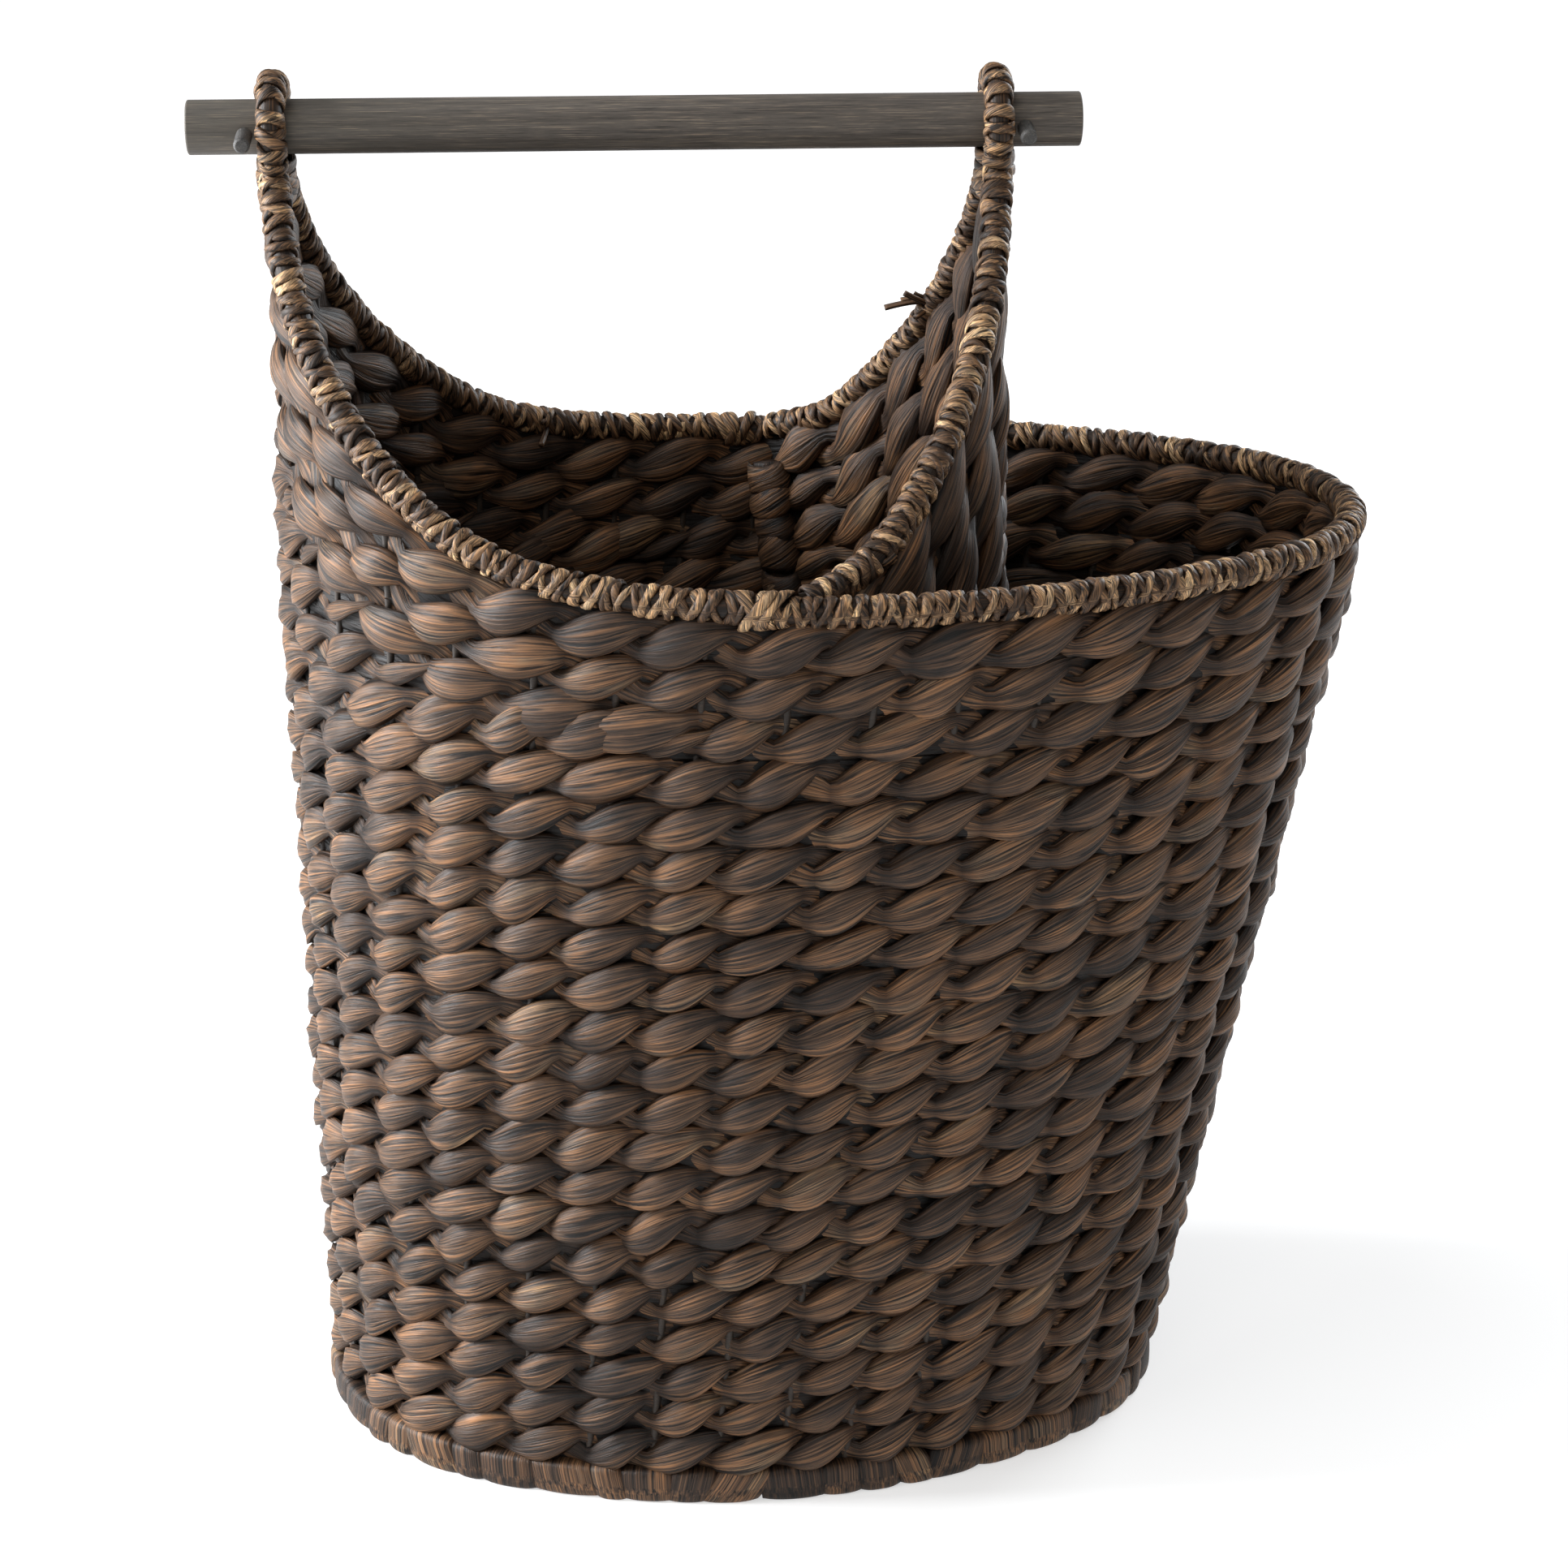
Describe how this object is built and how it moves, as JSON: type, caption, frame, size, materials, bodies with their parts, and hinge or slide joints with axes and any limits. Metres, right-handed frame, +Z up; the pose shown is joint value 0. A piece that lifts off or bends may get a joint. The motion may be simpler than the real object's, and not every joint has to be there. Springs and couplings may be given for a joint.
{
  "type": "log basket",
  "caption": "Oval tapered basket of dark twined plant fibre with a curved divider, a lower side pocket, scooped rims and a round wooden carrying bar held in wrapped loops by pegs.",
  "frame": {"origin": "middle of the base ring, on the surface the basket stands on", "axes": "+X along the handle bar towards the low side pocket, +Y towards the back, +Z up"},
  "size_m": [0.4407, 0.3042, 0.5263],
  "materials": {
    "twined_stalk": "matt dark brown dried plant stalk",
    "ring_wrap": "matt flat wrapped stalk",
    "floor_weave": "matt twined stalk",
    "rim_wrap": "fine twisted strips, brown and straw",
    "binding": "fine twisted strips",
    "frame_rod": "plain cane",
    "bar_wood": "matt dark stain",
    "peg_wood": "matt dark stain"
  },
  "bodies": {
    "basket": {"arch_course_01": "twined_stalk", "arch_course_02": "twined_stalk", "arch_course_03": "twined_stalk", "arch_course_04": "twined_stalk", "arch_rim_back": "rim_wrap", "arch_rim_front": "rim_wrap", "back_tie": "binding", "base_hoop": "frame_rod", "base_ring": "ring_wrap", "divider_course_01": "twined_stalk", "divider_course_02": "twined_stalk", "divider_course_03": "twined_stalk", "divider_course_04": "twined_stalk", "divider_course_05": "twined_stalk", "divider_course_06": "twined_stalk", "divider_course_07": "twined_stalk", "divider_stakes": "frame_rod", "floor_mat": "floor_weave", "front_tie": "binding", "horn_course_01": "twined_stalk", "horn_course_02": "twined_stalk", "horn_course_03": "twined_stalk", "horn_course_04": "twined_stalk", "left_lashing": "binding", "left_loop": "rim_wrap", "left_rim_back": "rim_wrap", "left_rim_front": "rim_wrap", "low_rim": "rim_wrap", "right_lashing": "binding", "right_loop": "rim_wrap", "rim_cores": "frame_rod", "wall_course_01": "twined_stalk", "wall_course_02": "twined_stalk", "wall_course_03": "twined_stalk", "wall_course_04": "twined_stalk", "wall_course_05": "twined_stalk", "wall_course_06": "twined_stalk", "wall_course_07": "twined_stalk", "wall_course_08": "twined_stalk", "wall_course_09": "twined_stalk", "wall_course_10": "twined_stalk", "wall_course_11": "twined_stalk", "wall_course_12": "twined_stalk", "wall_course_13": "twined_stalk", "wall_course_14": "twined_stalk", "wall_course_15": "twined_stalk", "wall_course_16": "twined_stalk", "wall_course_17": "twined_stalk", "wall_course_18": "twined_stalk", "wall_course_19": "twined_stalk", "wall_course_20": "twined_stalk", "wall_course_21": "twined_stalk", "wall_stakes": "frame_rod"},
    "handle": {"handle_bar": "bar_wood", "left_peg": "peg_wood", "right_peg": "peg_wood"}
  },
  "joints": [
    {"name": "bar_turn", "type": "hinge", "parent": "basket", "child": "handle", "pos_m": [-0.03475, 0, 0.506], "axis": [1, 0, 0], "continuous": true}
  ]
}
